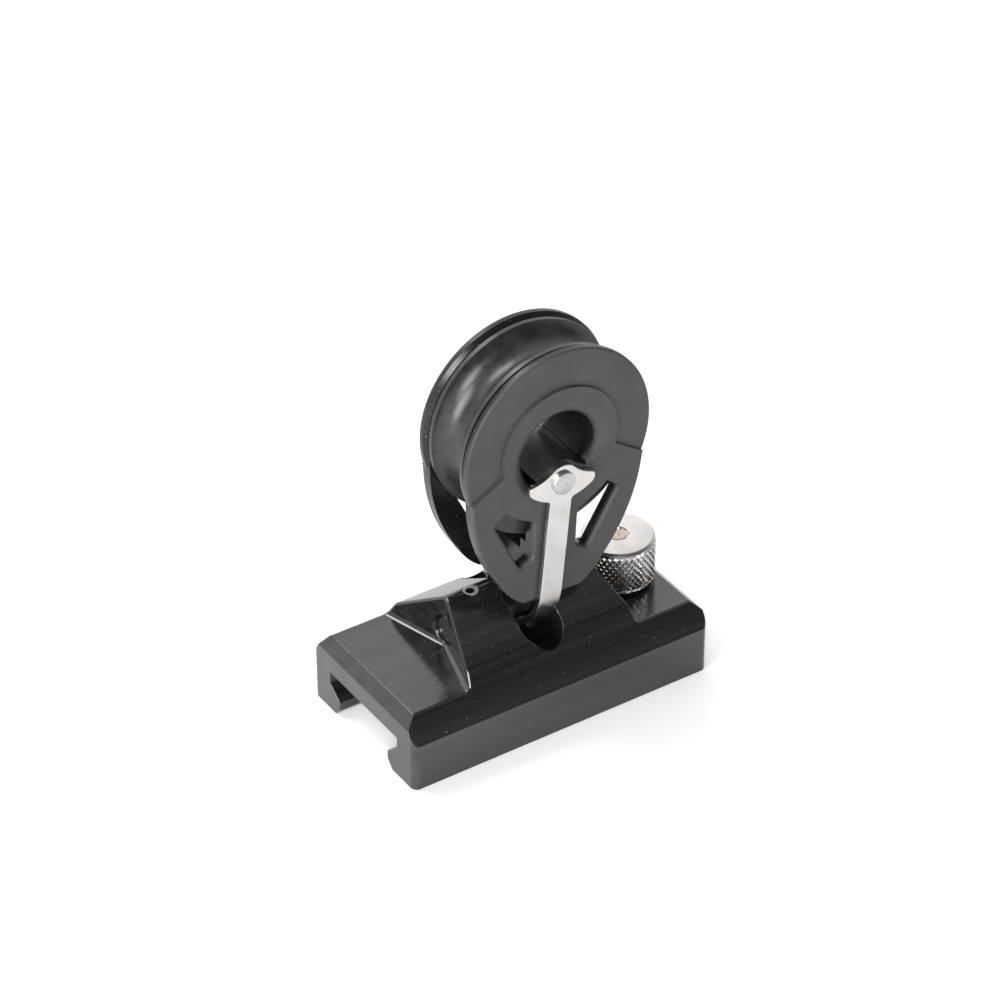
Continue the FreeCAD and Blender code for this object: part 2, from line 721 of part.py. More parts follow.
# Rivet through both heads: flat domed heads with rounded rims, the rivet's own centre as origin
rivet = new_body("strap_rivet")
rivet_outline = new_sketch(rivet, "rivet_outline", "YZ_Plane")
head_side = strap_outer + of("rivet_side")
dome_end = head_side + of("rivet_dome")
dome_arc = (of("rivet_head") * of("rivet_head") + of("rivet_dome") * of("rivet_dome")) / of("rivet_dome") / 2
draw(rivet_outline, [
    (-dome_end, 0),
    (dome_end, 0),
    (head_side, of("rivet_head")),
    (strap_outer, of("rivet_head")),
    (strap_outer, of("rivet_radius")),
    (-strap_outer, of("rivet_radius")),
    (-strap_outer, of("rivet_head")),
    (-head_side, of("rivet_head")),
], arcs={1: (dome_arc, 1), 7: (dome_arc, 1)})
turned(rivet, rivet_outline, "Y_Axis")
fillet(rivet, of("rivet_rim"), lambda m, e, edge: near(abs(m.y), head_side.value))
put(rivet, across=rivet_x, up=rivet_z, lean=lean)

# Saddle in the hub's bore: round underside, upper side like the strap's heads
saddle = new_body("bore_saddle")
saddle_radius = of("hub_bore") - of("saddle_play")
saddle_half = saddle_radius * of("saddle_share")
saddle_drop = root(saddle_radius * saddle_radius - saddle_half * saddle_half)
saddle_tip = -of("bore_drop") - saddle_drop
dome_rise = of("dome_radius") + of("saddle_rise")
saddle_view = new_sketch(saddle, "saddle_view", "XZ_Plane")
draw(saddle_view, [
    (saddle_half, saddle_tip),
    (dome_rise * 0.55, dome_rise * 0.8351647 - of("hub_drop")),
    (-dome_rise * 0.55, dome_rise * 0.8351647 - of("hub_drop")),
    (-saddle_half, saddle_tip),
], arcs={0: (9.0, -1), 1: (dome_rise, 1), 2: (9.0, -1), 3: (saddle_radius, 1)})
pad(saddle, saddle_view, of("strap_inner") * 2, both=True)
saddle_hole = new_sketch(saddle, "saddle_hole", "XZ_Plane")
ring(saddle_hole, 0, -of("hub_drop"), of("rivet_radius") + of("rivet_play"))
pocket(saddle, saddle_hole, of("strap_inner") * 2 + 2, both=True)
put(saddle, across=hub_x, up=hub_z, lean=lean)


def cheek_corners():
    """Outline of a cheek: a circle above, convex sides, hips and a flat tip below."""
    shoulder = of("cheek_radius") * of("shoulder_share")
    shoulder_half = root(of("cheek_radius") * of("cheek_radius") - shoulder * shoulder)
    hip_half = of("cheek_radius") * of("hip_share")
    corners = [
        (of("tip_half"), -of("tip_drop")),
        (hip_half, -of("cheek_hip")),
        (shoulder_half, -shoulder),
        (0, of("cheek_radius")),
        (-shoulder_half, -shoulder),
        (-hip_half, -of("cheek_hip")),
        (-of("tip_half"), -of("tip_drop")),
    ]
    arcs = {
        0: (of("cheek_hip_round"), 1), 1: (of("cheek_side_round"), 1), 2: (of("cheek_radius"), 1),
        3: (of("cheek_radius"), 1), 4: (of("cheek_side_round"), 1), 5: (of("cheek_hip_round"), 1),
    }
    return corners, arcs


def band_corners():
    """Outline of the recessed band: a crescent over the top of the cheek, with room outside it."""
    start_half = root(of("band_radius") * of("band_radius") - of("band_start") * of("band_start"))
    stop = of("cheek_radius") * of("band_share")
    stop_half = root(of("cheek_radius") * of("cheek_radius") - stop * stop)
    out = start_half + (stop_half - start_half) * 1.6
    out_drop = of("band_start") + (stop - of("band_start")) * 1.6
    corners = [
        (start_half, -of("band_start")),
        (out, -out_drop),
        (out, of("cheek_radius") + 3),
        (-out, of("cheek_radius") + 3),
        (-out, -out_drop),
        (-start_half, -of("band_start")),
        (0, of("band_radius")),
    ]
    return corners, {5: (of("band_radius"), -1), 6: (of("band_radius"), -1)}


def window_corners(side):
    """Outline of the window on one side of the spine."""
    high = root(of("window_radius") * of("window_radius") - of("spine_half") * of("spine_half"))
    wide = root(of("window_radius") * of("window_radius") - of("window_wide") * of("window_wide"))
    corners = [
        (of("spine_half") * side, -high),
        (of("spine_half") * side, -of("window_low")),
        (of("window_tip") * side, -of("window_tip_drop")),
        (of("window_out") * side, -of("window_out_drop")),
        (of("window_wide") * side, -wide),
    ]
    return corners, {4: (of("window_radius"), -side)}


def cheek(name, turn):
    """One moulded half of the block, drawn with the hub's axis as its origin and facing -Y."""
    half = new_body(name)
    hub = new_sketch(half, name + "_hub", "XZ_Plane")
    ring(hub, 0, 0, of("hub_radius"))
    pad(half, hub, of("cheek_face"))
    plate = new_sketch(half, name + "_plate", "XZ_Plane", of("cheek_inner"))
    draw(plate, *cheek_corners())
    pad(half, plate, of("cheek_face") - of("cheek_inner"))
    inner = -of("cheek_inner").value
    radius = of("cheek_radius").value

    def rim_edge(m, e, edge):
        return near(m.y, inner) and m.z > 0 and near(math.hypot(m.x, m.z), radius)

    chamfer(half, of("rim_bevel"), rim_edge)
    crescent = new_sketch(half, name + "_band", "XZ_Plane", of("band_face"))
    draw(crescent, *band_corners())
    pocket(half, crescent, of("cheek_face"), back=True)
    bridge = new_sketch(half, name + "_bridge", "XZ_Plane")
    draw(bridge, [
        (-of("bridge_half"), -of("bridge_foot")),
        (of("bridge_half"), -of("bridge_foot")),
        (of("bridge_half"), -of("bridge_top")),
        (-of("bridge_half"), -of("bridge_top")),
    ])
    pad(half, bridge, of("cheek_inner") + 0.5)
    rib = new_sketch(half, name + "_rib", "XZ_Plane", of("rib_inner"))
    draw(rib, [
        (-of("spine_half"), -of("bridge_top") - 0.6),
        (of("spine_half"), -of("bridge_top") - 0.6),
        (of("spine_half"), -of("rib_top")),
        (-of("spine_half"), -of("rib_top")),
    ])
    pad(half, rib, of("cheek_inner") - of("rib_inner") + 0.5)
    opening = new_sketch(half, name + "_bore", "XZ_Plane")
    ring(opening, 0, -of("bore_drop"), of("hub_bore"))
    pocket(half, opening, of("cheek_face") * 2 + 4, both=True)
    for sign, word in ((-1, "_left_window"), (1, "_right_window")):
        hole = new_sketch(half, name + word, "XZ_Plane", of("cheek_face") + 1)
        draw(hole, *window_corners(sign))
        pocket(half, hole, of("cheek_face"))
    tip_cut = new_sketch(half, name + "_tip_cut", "YZ_Plane")
    bevel = of("tip_bevel_out")
    draw(tip_cut, [
        (bevel * 0.6 - of("cheek_inner"), -of("tip_drop") - bevel * 0.6),
        (bevel * 0.6 - of("cheek_inner"), bevel * 1.5 - of("tip_drop")),
        (-of("cheek_inner") - bevel * 1.5, -of("tip_drop") - bevel * 0.6),
    ])
    draw(tip_cut, [
        (-of("cheek_face") - bevel * 0.6, -of("tip_drop") - bevel * 0.6),
        (bevel * 1.6 - of("cheek_face"), -of("tip_drop") - bevel * 0.6),
        (-of("cheek_face") - bevel * 0.6, bevel * 1.6 - of("tip_drop")),
    ])
    pocket(half, tip_cut, of("cheek_radius") * 2, both=True)
    face = -of("cheek_face").value
    bore_radius = of("hub_bore").value
    bore_drop = of("bore_drop").value
    window_side = of("window_out").value
    window_foot = -of("window_tip_drop").value
    window_head = -math.sqrt(of("window_radius").value ** 2 - of("window_wide").value ** 2) + 1.5
    band_stop = -radius * of("band_share").value

    def upright(m, e, edge):
        """Edges that run across the plate at the windows' corners."""
        lies = len(e) == 2 and near(e[0].x, e[1].x) and near(e[0].z, e[1].z)

        inside = window_foot - 0.7 < m.z < -of("window_out_drop").value + 0.9 and abs(m.x) < window_side + 0.9
        return lies and m.y < inner - 0.2 and inside

    def on_outline(m):
        """Is the point on the cheek's outline, not at a window or the band's end?"""
        beside = abs(m.x) > window_side + 0.3 or m.z < window_foot - 0.9 or m.z > window_head
        return math.hypot(m.x, m.z) > radius - 0.5 and beside

    def window_edge(m, e, edge):
        return near(m.y, face) and m.z < window_head and not on_outline(m)

    def low_edge(m, e, edge):
        return near(m.y, face) and m.z < band_stop - 0.05 and on_outline(m)

    def band_edge(m, e, edge):
        return near(m.y, -of("band_face").value) and on_outline(m)

    def mouth(m, e, edge):
        return near(m.y, face) and near(math.hypot(m.x, m.z + bore_drop), bore_radius)

    fillet(half, of("window_round"), upright)
    fillet(half, of("mouth_round"), mouth)
    fillet(half, of("window_lip"), window_edge)
    fillet(half, of("edge_round"), low_edge)
    fillet(half, of("edge_round"), band_edge)
    put(half, across=hub_x, up=hub_z, lean=block_lean, turn=turn)
    return half


near_cheek = cheek("near_cheek", 0.0)
far_cheek = cheek("far_cheek", 180.0)

# Sheave: two thin rims, a deep round groove and the bearing's outer race
sheave = new_body("sheave")
sheave_outline = new_sketch(sheave, "sheave_outline", "XY_Plane")
rim_inner = of("sheave_half") - of("rim_width")
sheave_radius = of("cheek_radius") - of("rim_back")
draw(sheave_outline, [
    (of("race_radius"), -of("sheave_half")),
    (sheave_radius, -of("sheave_half")),
    (sheave_radius, -rim_inner),
    (sheave_radius, rim_inner),
    (sheave_radius, of("sheave_half")),
    (of("race_radius"), of("sheave_half")),
], arcs={2: (of("groove_round"), -1)})
turned(sheave, sheave_outline, "Y_Axis")
put(sheave, across=hub_x, up=hub_z, lean=block_lean)

# Bearing balls, evenly spaced between hub and sheave
ball_ring = (of("hub_radius").value + of("race_radius").value) / 2
count = int(of("ball_count").value)
ball_shapes = []
for i in range(count):
    angle = 2 * math.pi * i / count
    centre = Vector(ball_ring * math.cos(angle), 0, ball_ring * math.sin(angle))
    ball_shapes.append(Part.makeSphere(of("ball_radius").value, centre))
balls = doc.addObject("Part::Feature", "bearing_balls")
balls.Shape = Part.makeCompound(ball_shapes)
balls.Label = "bearing_balls"
put(balls, across=hub_x, up=hub_z, lean=block_lean)

doc.recompute()

NODES = [
    car, pin, grub, bush, plunger, knob, spring, strap, rivet, saddle,
    near_cheek, far_cheek, sheave, balls,
]
troubles = []
for item in doc.Objects:
    if "Invalid" in item.State or "Error" in item.State:
        troubles.append("%s: %s" % (item.Name, item.State))
for node in NODES:
    if node.Shape.isNull() or not node.Shape.isValid():
        troubles.append("%s: shape is empty or not valid" % node.Label)
if troubles:
    raise RuntimeError("; ".join(troubles))

for node in NODES:
    node.Shape.exportStep(os.path.join("parts", node.Label + ".step"))
    box = node.Shape.BoundBox
    print("%-16s volume %8.1f mm3, solids %d, x %.2f..%.2f y %.2f..%.2f z %.2f..%.2f" % (
        node.Label, node.Shape.Volume, len(node.Shape.Solids),
        box.XMin, box.XMax, box.YMin, box.YMax, box.ZMin, box.ZMax))
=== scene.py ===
# %% [markdown]
# # A pin stop car, dressed for its picture
#
# This file is a lesson in cells. The metal and plastic parts of a small sailing car come in as a packed
# CAD frame. Blender gives them light, a camera, finishes, soft edges and two finer pieces: the pull knob
# with its diamond knurl and the spring under it. Everything is in metres, with +X along the track and +Z up.

# %% the frame and the tools of the lesson
import math

import bmesh
import bpy
from mathutils import Matrix, Vector


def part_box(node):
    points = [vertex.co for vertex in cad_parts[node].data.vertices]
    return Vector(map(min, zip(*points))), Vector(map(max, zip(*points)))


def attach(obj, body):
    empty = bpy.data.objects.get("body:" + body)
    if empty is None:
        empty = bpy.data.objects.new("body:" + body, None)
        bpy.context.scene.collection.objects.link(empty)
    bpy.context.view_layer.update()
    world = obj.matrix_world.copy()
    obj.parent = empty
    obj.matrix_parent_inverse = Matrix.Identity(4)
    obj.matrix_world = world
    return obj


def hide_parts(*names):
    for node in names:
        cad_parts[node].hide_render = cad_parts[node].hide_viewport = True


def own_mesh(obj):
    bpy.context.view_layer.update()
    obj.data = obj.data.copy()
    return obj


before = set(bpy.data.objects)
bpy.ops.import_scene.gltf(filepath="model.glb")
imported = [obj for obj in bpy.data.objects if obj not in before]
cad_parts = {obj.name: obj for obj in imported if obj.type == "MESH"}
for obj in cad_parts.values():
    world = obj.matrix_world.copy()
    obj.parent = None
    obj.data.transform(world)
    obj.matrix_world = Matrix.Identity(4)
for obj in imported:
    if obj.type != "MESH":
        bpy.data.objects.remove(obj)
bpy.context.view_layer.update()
mm = 0.001
micron = 0.000001
print("parts of the frame:", ", ".join(sorted(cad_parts)))

# %% [markdown]
# ## Places that come from the frame
#
# Turned pieces need the axis that they were turned about. A box round the piece gives it, because a turned
# piece is the same on both sides. The frame's round pieces are made of flat facets, so the middle of a box
# can be a thousandth of a millimetre off, and rounding takes that away. The sheave leans with its block,
# and its axle is the one that its joint has in the record.

# %% places
def hundredths(length):
    """A length, rounded to a hundredth of a millimetre."""
    return round(length / mm, 2) * mm


def middle_x(name):
    """Where the middle of a CAD piece lies along the car."""
    low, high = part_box(name)
    return hundredths((low.x + high.x) / 2.0)


stop_x = middle_x("plunger_bush")
screw_x = middle_x("grub_screw")
axle = Vector((4.99, 0.0, 56.823)) * mm
print("plunger axis at x", round(stop_x / mm, 2), "mm, screw axis at x", round(screw_x / mm, 2), "mm")

# %% [markdown]
# ## The camera
#
# The picture looks down on the car from the front left through a long lens. Its direction, distance and
# lens were fitted to the straight edges of the car, so the same view is rebuilt here from two angles and
# one place. `to_track_quat` turns a direction into a rotation: a Blender camera looks along its own -Z.

# %% the camera
azimuth = math.radians(33.56)
dip = math.radians(35.67)
look = Vector((math.sin(azimuth) * math.cos(dip), math.cos(azimuth) * math.cos(dip), -math.sin(dip)))

lens = bpy.data.cameras.new("studio_camera")
lens.sensor_width = 36.0
lens.lens = 138.5
lens.clip_start = 0.01
lens.clip_end = 20.0
camera = bpy.data.objects.new("studio_camera", lens)
camera.location = (-0.3184, -0.4760, 0.4532)
camera.rotation_euler = look.to_track_quat("-Z", "Y").to_euler()
bpy.context.scene.collection.objects.link(camera)
bpy.context.scene.camera = camera
bpy.context.scene.view_settings.view_transform = "Standard"
print("camera looks along", [round(v, 3) for v in look])

# %% [markdown]
# ## Helpers for node materials
#
# Every finish here is a node tree: noise, distances and bumps that feed one Principled shader. Written out
# in full that is long, so a small helper adds a node, sets its inputs and joins its links in one call. A
# link is given as the socket that it comes from, and a plain value is written on the socket itself. Some
# nodes have several sockets of one name: those are given by their number, as in `In_0`.

# %% the helper for node trees
def node(tree, kind, out=0, **inputs):
    """Adds a node, fills its inputs by name and gives back its output socket."""
    made = tree.nodes.new(kind)
    for key, value in inputs.items():
        if hasattr(made, key) and not key[0].isupper():
            setattr(made, key, value)
            continue
        name, _, number = key.partition("_")
        socket = made.inputs[int(number)] if number else made.inputs[name]
        if isinstance(value, bpy.types.NodeSocket):
            tree.links.new(value, socket)
        else:
            socket.default_value = value
    return made.outputs[out] if made.outputs else made


def new_finish(name, colour, metallic, roughness, ior):
    """A material with a bare Principled shader. Gives back the material, its tree and the shader."""
    finish = bpy.data.materials.new(name)
    finish.use_nodes = True
    tree = finish.node_tree
    shader = tree.nodes["Principled BSDF"]
    shader.inputs["Base Color"].default_value = (*colour, 1.0)
    shader.inputs["Metallic"].default_value = metallic
    shader.inputs["Roughness"].default_value = roughness
    shader.inputs["IOR"].default_value = ior
    return finish, tree, shader


print("helpers ready: node, new_finish")


# %% helpers for numbers and colours
def maths(tree, operation, a, b=0.0):
    """One Math node."""
    return node(tree, "ShaderNodeMath", operation=operation, In_0=a, In_1=b)


def spread(tree, value, low, high, to_low, to_high):
    """Maps the range low..high of a value onto to_low..to_high."""
    made = tree.nodes.new("ShaderNodeMapRange")
    tree.links.new(value, made.inputs["Value"])
    for name, number in zip(("From Min", "From Max", "To Min", "To Max"), (low, high, to_low, to_high)):
        made.inputs[name].default_value = number
    return made.outputs["Result"]


def between(tree, share, one, other):
    """Mixes two numbers: all of one at a share of 0, all of the other at 1."""
    return node(tree, "ShaderNodeMix", out=0, Factor_0=share, A_2=one, B_3=other)


def blend(tree, share, one, other):
    """Mixes two colours in the same way. A colour is three numbers or a link."""
    one, other = ((*c, 1.0) if isinstance(c, tuple) else c for c in (one, other))
    return node(tree, "ShaderNodeMix", out=2, data_type="RGBA", Factor_0=share, A_6=one, B_7=other)


print("helpers ready: maths, spread, between, blend")


# %% helpers for places on a piece
def place(tree, centre=(0, 0, 0), stretch=(1, 1, 1)):
    """Object coordinates, moved so that centre is their zero, then stretched."""
    where = node(tree, "ShaderNodeTexCoord", out=3)
    shift = node(tree, "ShaderNodeVectorMath", operation="SUBTRACT", In_0=where, In_1=centre)
    return node(tree, "ShaderNodeMapping", Vector=shift, Scale=stretch)


def along_axis(tree, letter, vector=None):
    """The X, Y or Z of a vector, or of the object coordinates where none is given."""
    where = place(tree) if vector is None else vector
    return node(tree, "ShaderNodeSeparateXYZ", out="XYZ".index(letter), Vector=where)


def length_of(tree, vector):
    """How long a vector is."""
    return node(tree, "ShaderNodeVectorMath", out=1, operation="LENGTH", In_0=vector)


def off_axis(tree, x):
    """The distance from the upright axis at x in the car's middle plane."""
    return length_of(tree, place(tree, centre=(x, 0.0, 0.0), stretch=(1.0, 1.0, 0.0)))


print("helpers ready: place, along_axis, length_of, off_axis")


# %% helpers for noise and relief
def grain(tree, where, scale, detail=3.0, roughness=0.6):
    """Noise from 0 to 1, with its scale in marks per metre."""
    return node(tree, "ShaderNodeTexNoise", Vector=where, Scale=scale, Detail=detail, Roughness=roughness)


def specks(tree, where, scale, low, high):
    """Dust: 1 at the few highest peaks of a noise and 0 everywhere else."""
    return spread(tree, grain(tree, where, scale, 0.0), low, high, 0.0, 1.0)


def relief(tree, shader, height, depth, under=None):
    """A bump of that depth in metres. It can lie on another bump."""
    inputs = {"Height": height, "Distance": depth, "Strength": 1.0}
    if under is not None:
        inputs["Normal"] = under
    bump = node(tree, "ShaderNodeBump", **inputs)
    tree.links.new(bump, shader.inputs["Normal"])
    return bump


print("helpers ready: grain, specks, relief")

# %% [markdown]
# ## Black anodised aluminium
#
# The car is milled from a bar and dyed black. What the eye sees is not its colour but what it mirrors:
# the skin is smooth, the cutter leaves fine lines along the car, and the dye varies a little. A high index
# of refraction gives the strong mirror at flat angles. The lines are noise that is stretched along X, so
# they need no picture, and they are only two thousandths of a millimetre deep. A few specks of dust lie on
# the metal, as on any black thing.

# %% black anodised aluminium
anodised, tree, shader = new_finish("black_anodised_skin", (0.012, 0.012, 0.013), 0.0, 0.2, 1.85)
along_car = place(tree, stretch=(0.02, 1.0, 1.0))
all_round = place(tree)
cutter_lines = grain(tree, along_car, 5200.0, 2.0)
wide_lines = grain(tree, along_car, 900.0, 2.0)
streaks = grain(tree, along_car, 380.0, 3.0)
clouds = grain(tree, all_round, 60.0, 3.0)

dyed = blend(tree, spread(tree, streaks, 0.35, 0.65, 0.0, 1.0), (0.004, 0.004, 0.0045), (0.02, 0.02, 0.021))
dusty = blend(tree, specks(tree, all_round, 4300.0, 0.845, 0.875), dyed, (0.4, 0.4, 0.4))
tree.links.new(dusty, shader.inputs["Base Color"])
shine = maths(tree, "ADD", spread(tree, wide_lines, 0.3, 0.7, 0.1, 0.17),
              spread(tree, clouds, 0.3, 0.7, 0.0, 0.05))
tree.links.new(shine, shader.inputs["Roughness"])
lines = relief(tree, shader, cutter_lines, 2.0 * micron)
relief(tree, shader, grain(tree, all_round, 9000.0, 2.0), 1.2 * micron, lines)
print("finish:", anodised.name)

# %% [markdown]
# ## Moulded plastic of the cheeks
#
# The two cheeks come out of a spark-eroded mould. Their outer faces are finely matt, like an eggshell, and
# two sizes of noise make that skin. The walls of the windows and of the bore were left smooth, so they are
# less rough, and their colour is painted near black as painted shade in those recesses, fading in over the
# bore's mouth. How far a point lies from the middle plane tells the two apart: its Y, without its sign.

# %% matt black moulding
moulding, tree, shader = new_finish("matt_black_moulding", (0.05, 0.05, 0.052), 0.0, 0.5, 1.5)
wall_ends = 7.1 * mm
face_starts = 7.85 * mm
all_round = place(tree)
pits = grain(tree, all_round, 5200.0, 3.0, 0.7)
clouds = grain(tree, all_round, 140.0, 3.0)
outside = spread(tree, maths(tree, "ABSOLUTE", along_axis(tree, "Y")), wall_ends, face_starts, 0.0, 1.0)

face = blend(tree, spread(tree, clouds, 0.3, 0.7, 0.0, 1.0), (0.05, 0.05, 0.052), (0.067, 0.067, 0.069))
# painted shade: the window and bore walls get a near-black colour, blending to the face colour over the
# bore's mouth
painted_recess_shade = blend(tree, outside, (0.008, 0.008, 0.008), face)
dusty = blend(tree, specks(tree, all_round, 3300.0, 0.84, 0.87), painted_recess_shade, (0.3, 0.3, 0.3))
tree.links.new(dusty, shader.inputs["Base Color"])
matt = between(tree, outside, 0.24, spread(tree, pits, 0.3, 0.7, 0.46, 0.6))
tree.links.new(matt, shader.inputs["Roughness"])
relief(tree, shader, pits, 12.0 * micron)
print("finish:", moulding.name)

# %% [markdown]
# ## Glossy black of the sheave
#
# The wheel is turned from a hard black plastic. Fine rings run round its axle, so the height of the bump
# depends only on the distance from that axle: the length of the position, with its Y taken out. Ropes have
# scratched the groove crosswise. For those marks the angle round the axle comes from an arc tangent, and
# the groove's radius turns it into a length.

# %% glossy black
glossy, tree, shader = new_finish("glossy_black_wheel", (0.02, 0.02, 0.021), 0.0, 0.2, 1.6)
groove_radius = 17.0 * mm
flat = place(tree, centre=axle, stretch=(1.0, 0.0, 1.0))
beside = along_axis(tree, "Y")
rings = grain(tree, node(tree, "ShaderNodeCombineXYZ", X=length_of(tree, flat), Y=beside, Z=0.0), 5000.0, 2.0)
scuffs = grain(tree, place(tree), 420.0, 4.0)

worn = blend(tree, spread(tree, scuffs, 0.35, 0.7, 0.0, 1.0), (0.016, 0.016, 0.016), (0.034, 0.033, 0.032))
tree.links.new(worn, shader.inputs["Base Color"])
tree.links.new(spread(tree, scuffs, 0.3, 0.7, 0.24, 0.38), shader.inputs["Roughness"])

angle = maths(tree, "ARCTAN2", along_axis(tree, "X", flat), along_axis(tree, "Z", flat))
arc = maths(tree, "MULTIPLY", angle, groove_radius)
crosswise = node(tree, "ShaderNodeCombineXYZ", X=arc, Y=maths(tree, "MULTIPLY", beside, 0.1), Z=0.0)
fine_rings = relief(tree, shader, rings, 2.0 * micron)
relief(tree, shader, grain(tree, crosswise, 2600.0, 2.0), 4.0 * micron, fine_rings)
print("finish:", glossy.name)

# %% [markdown]
# ## Stainless steel, polished and turned
#
# The hanger strap is polished after it is bent. The knob, the bush and the screws are turned, so they have
# rings like a record. All are the same metal with a different grain, and one recipe makes them: it takes
# the place where the grain noise is read, how fine and deep it is, and the range of the shine.

# %% the recipe for steel
def steel_finish(name, colour, shine_range, marks, depth, where):
    """A steel with its grain read at where(tree)."""
    finish, tree, shader = new_finish(name, colour, 1.0, 0.25, 1.5)
    lines = grain(tree, where(tree), marks, 2.0)
    smears = grain(tree, place(tree), 260.0, 4.0)
    darker = tuple(0.86 * c for c in colour)
    tone = blend(tree, spread(tree, smears, 0.3, 0.75, 0.0, 1.0), colour, darker)
    tree.links.new(tone, shader.inputs["Base Color"])
    tree.links.new(spread(tree, smears, 0.3, 0.7, *shine_range), shader.inputs["Roughness"])
    relief(tree, shader, lines, depth)
    return finish


def brushed_upright(tree):
    """Where marks lie that run up and down."""
    return place(tree, stretch=(1.0, 1.0, 0.08))


def turned_about(x):
    """Where rings lie about the upright axis at x."""
    def where(tree):
        return node(tree, "ShaderNodeCombineXYZ", X=off_axis(tree, x), Y=0.0, Z=along_axis(tree, "Z"))
    return where


print("recipe ready: steel_finish, with brushed_upright and turned_about")

# %% the steels
about_stop = turned_about(stop_x)
about_screw = turned_about(screw_x)
recipes = {
    "polished_steel_strap": ((0.79, 0.775, 0.76), (0.18, 0.3), 2600.0, 1.2 * micron, brushed_upright),
    "turned_steel": ((0.78, 0.755, 0.735), (0.2, 0.3), 2300.0, 6.0 * micron, about_stop),
    "warm_plunger_steel": ((0.6, 0.49, 0.41), (0.24, 0.36), 2600.0, 10.0 * micron, about_stop),
    # painted shade: the knurl is the knob's own turned steel, coloured darker (0.6 against 0.78) to stand in
    # for shade in its grooves; its roughness and marks are its own
    "knurled_steel_painted_shade": ((0.6, 0.585, 0.57), (0.1, 0.17), 3000.0, 1.0 * micron, place),
    "drawn_spring_wire": ((0.62, 0.61, 0.60), (0.2, 0.3), 3000.0, 2.0 * micron, place),
    "screw_steel": ((0.86, 0.85, 0.83), (0.42, 0.55), 5000.0, 10.0 * micron, about_screw),
    "rivet_steel": ((0.66, 0.65, 0.64), (0.24, 0.36), 3000.0, 3.0 * micron, place),
    "dark_pin_steel": ((0.3, 0.295, 0.29), (0.2, 0.34), 3000.0, 6.0 * micron, place),
}
steels = {name: steel_finish(name, *recipe) for name, recipe in recipes.items()}
print("finishes:", ", ".join(steels))

# %% [markdown]
# The screw's hexagon socket is painted dark inside: painted shade in the hole. The painted shade reaches out
# to a circle through the hexagon's corners, so the colour depends on nothing but the distance from the
# screw's axis.

# %% painted shade in the screw's socket
tree = steels["screw_steel"].node_tree
shader = tree.nodes["Principled BSDF"]
socket_shade_ends = 0.84 * mm
ring_starts = 0.9 * mm
on_ring = spread(tree, off_axis(tree, screw_x), socket_shade_ends, ring_starts, 0.0, 1.0)
steel_tone = shader.inputs["Base Color"].links[0].from_socket
# painted shade: a near-black colour inside the hexagon socket, the steel's own colour on the ring
tree.links.new(blend(tree, on_ring, (0.03, 0.03, 0.03), steel_tone), shader.inputs["Base Color"])
print("socket dark out to", round(socket_shade_ends / mm, 2), "mm")

# %% [markdown]
# ## The small plastics
#
# The saddle under the rivet is a satin moulding and the bearing balls are ivory coloured plastic. Neither
# shows much, so each gets one noise for its tone and one for its skin.

# %% saddle and balls
def plain_plastic(name, colour, roughness, marks, depth):
    """A plastic with a cloudy tone and a fine skin."""
    finish, tree, shader = new_finish(name, colour, 0.0, roughness, 1.5)
    clouds = grain(tree, place(tree), marks / 8.0, 3.0)
    paler = tuple(min(1.0, 1.3 * c) for c in colour)
    tree.links.new(blend(tree, clouds, colour, paler), shader.inputs["Base Color"])
    matt = spread(tree, clouds, 0.3, 0.7, roughness - 0.05, roughness + 0.05)
    tree.links.new(matt, shader.inputs["Roughness"])
    relief(tree, shader, grain(tree, place(tree), marks, 2.0), depth)
    return finish


saddle = plain_plastic("satin_saddle", (0.02, 0.02, 0.021), 0.35, 4000.0, 4.0 * micron)
ivory = plain_plastic("ivory_balls", (0.68, 0.65, 0.58), 0.22, 3000.0, 2.0 * micron)
print("finishes:", saddle.name, ivory.name)

# %% dress the CAD nodes
wardrobe = {
    "car_body": anodised, "near_cheek": moulding, "far_cheek": moulding, "sheave": glossy,
    "bore_saddle": saddle, "bearing_balls": ivory,
    "hanger_strap": steels["polished_steel_strap"], "strap_rivet": steels["rivet_steel"],
    "strap_pin": steels["dark_pin_steel"], "grub_screw": steels["screw_steel"],
    "plunger_pin": steels["warm_plunger_steel"], "plunger_bush": steels["turned_steel"],
    "plunger_knob": steels["turned_steel"], "plunger_spring": steels["drawn_spring_wire"],
}
for name, finish in wardrobe.items():
    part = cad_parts[name]
    part.data.materials.clear()
    part.data.materials.append(finish)
    print(f"{name} wears {finish.name}")

# %% [markdown]
# ## Soft edges
#
# No real edge is a knife edge: deburring and dye leave a tiny round, and it is this round that catches the
# light as a thin bright line. The frame's meshes are loose triangles, so a Weld joins them, a planar
# Decimate takes out the flat inner edges, and a Bevel rounds what is sharp. Weighted normals keep the big
# faces flat in the shading. The bevel's clamp is off, because the shortest edge of the whole mesh would
# otherwise set the width for all of them.

# %% soft edges by modifiers
edge_round = 0.16 * mm
sharp_from = math.radians(25.0)


def soften(part):
    """Rounds the sharp edges of a CAD piece with live modifiers."""
    weld = part.modifiers.new("joined", "WELD")
    weld.merge_threshold = 0.5 * micron
    flatten = part.modifiers.new("flat faces", "DECIMATE")
    flatten.decimate_type = "DISSOLVE"
    flatten.angle_limit = math.radians(0.2)
    edge = part.modifiers.new("edge round", "BEVEL")
    edge.width = edge_round
    edge.segments = 3
    edge.limit_method = "ANGLE"
    edge.angle_limit = sharp_from
    edge.use_clamp_overlap = False
    weighted = part.modifiers.new("even shading", "WEIGHTED_NORMAL")
    weighted.keep_sharp = False


for name in ("car_body", "hanger_strap"):
    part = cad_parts[name]
    soften(part)
    made = part.evaluated_get(bpy.context.evaluated_depsgraph_get())
    print(name, "edge round", edge_round / mm, "mm,", len(made.data.polygons), "faces")

